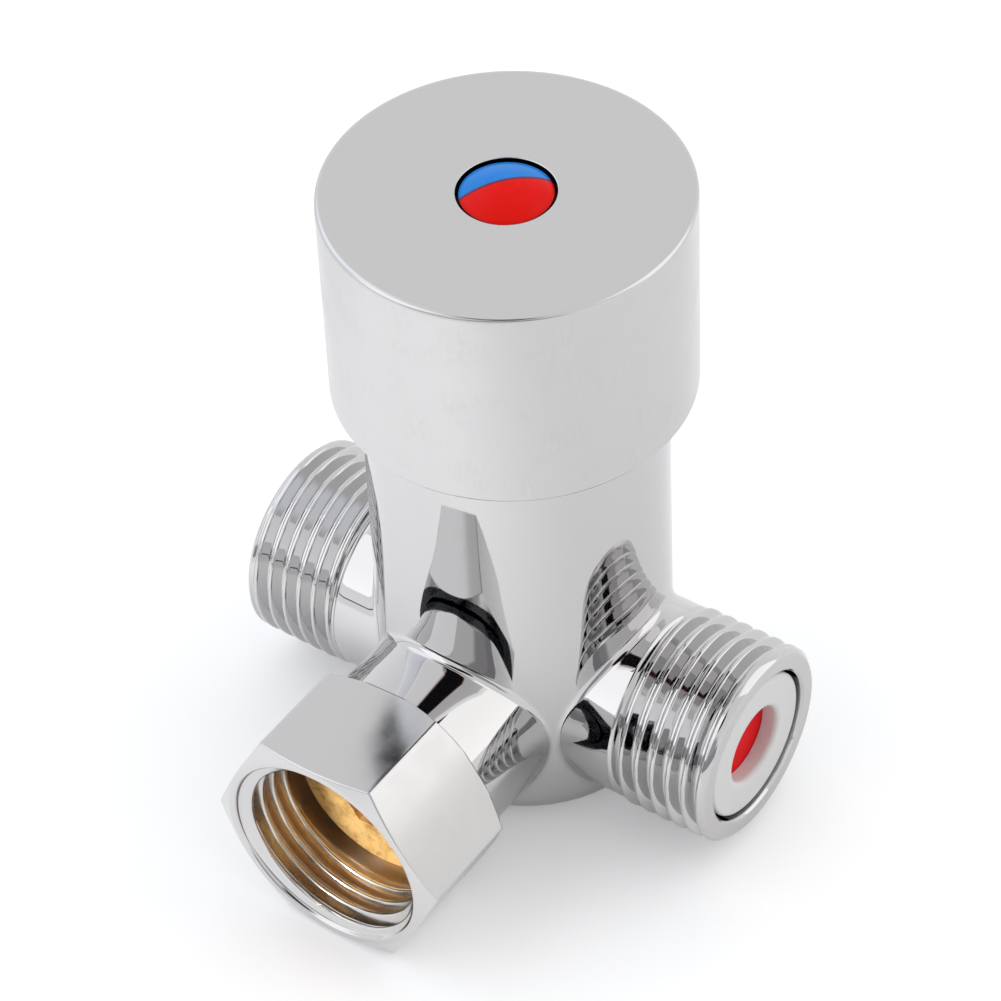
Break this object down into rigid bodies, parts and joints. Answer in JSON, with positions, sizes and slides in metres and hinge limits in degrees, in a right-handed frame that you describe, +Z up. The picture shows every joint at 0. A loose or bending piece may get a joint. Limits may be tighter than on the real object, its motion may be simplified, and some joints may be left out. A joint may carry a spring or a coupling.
{
  "type": "mixing valve",
  "caption": "Chromed tee-shaped water mixing valve: threaded hot and cold inlets with check valves, a swivel-nut outlet and a round top knob that sets the mix under a red and blue cap.",
  "frame": {"origin": "on the outlet axis where the swivel nut's thread begins, at the height of the inlet axis", "axes": "+Z up along the knob axis, +X out of the hot inlet, -X out of the cold inlet, -Y out of the outlet"},
  "size_m": [0.0556, 0.0524, 0.0718],
  "materials": {
    "chrome_plate": "bright polished chrome plate over cast brass",
    "satin_chrome": "satin turned chrome plate",
    "raw_brass": "turned, not plated",
    "grey_acetal": "moulded",
    "white_acetal": "moulded, slightly translucent",
    "red_acetal": "moulded",
    "blue_acetal": "moulded",
    "two_colour_cap": "gloss, one half red and the other blue",
    "alumina": "lapped",
    "black_rubber": "moulded",
    "stainless": "drawn wire and turned"
  },
  "bodies": {
    "body": {"valve_body": "chrome_plate", "outlet_tailpiece": "raw_brass", "cartridge_base": "grey_acetal", "port_gasket": "black_rubber", "fixed_disc": "alumina", "cartridge_housing": "grey_acetal", "shoulder_seal": "black_rubber", "bonnet": "raw_brass", "hot_check_housing": "white_acetal", "cold_check_housing": "white_acetal", "hot_check_seal": "black_rubber", "cold_check_seal": "black_rubber", "hot_check_guide": "white_acetal", "cold_check_guide": "white_acetal", "hot_check_spring": "stainless", "cold_check_spring": "stainless"},
    "knob": {"knob": "satin_chrome", "knob_screw": "stainless", "indicator_cap": "two_colour_cap", "spindle": "raw_brass", "spindle_seal": "black_rubber", "disc_carrier": "grey_acetal", "moving_disc": "alumina"},
    "nut": {"swivel_nut": "chrome_plate"},
    "hot_poppet": {"hot_check_poppet": "red_acetal"},
    "cold_poppet": {"cold_check_poppet": "blue_acetal"}
  },
  "joints": [
    {"name": "knob_turn", "type": "hinge", "parent": "body", "child": "knob", "pos_m": [0, 0.03332, 0.04], "axis": [0, 0, 1], "range_deg": [-45, 45]},
    {"name": "nut_spin", "type": "hinge", "parent": "body", "child": "nut", "pos_m": [0, 0, 0], "axis": [0, -1, 0], "continuous": true},
    {"name": "hot_check_open", "type": "slide", "parent": "body", "child": "hot_poppet", "axis": [-1, 0, 0], "range_m": [0, 0.0018], "stiffness_N_per_m": 200, "springref_m": -0.002, "deforming": ["hot_check_spring"]},
    {"name": "cold_check_open", "type": "slide", "parent": "body", "child": "cold_poppet", "axis": [1, 0, 0], "range_m": [0, 0.0018], "stiffness_N_per_m": 200, "springref_m": -0.002, "deforming": ["cold_check_spring"]}
  ]
}
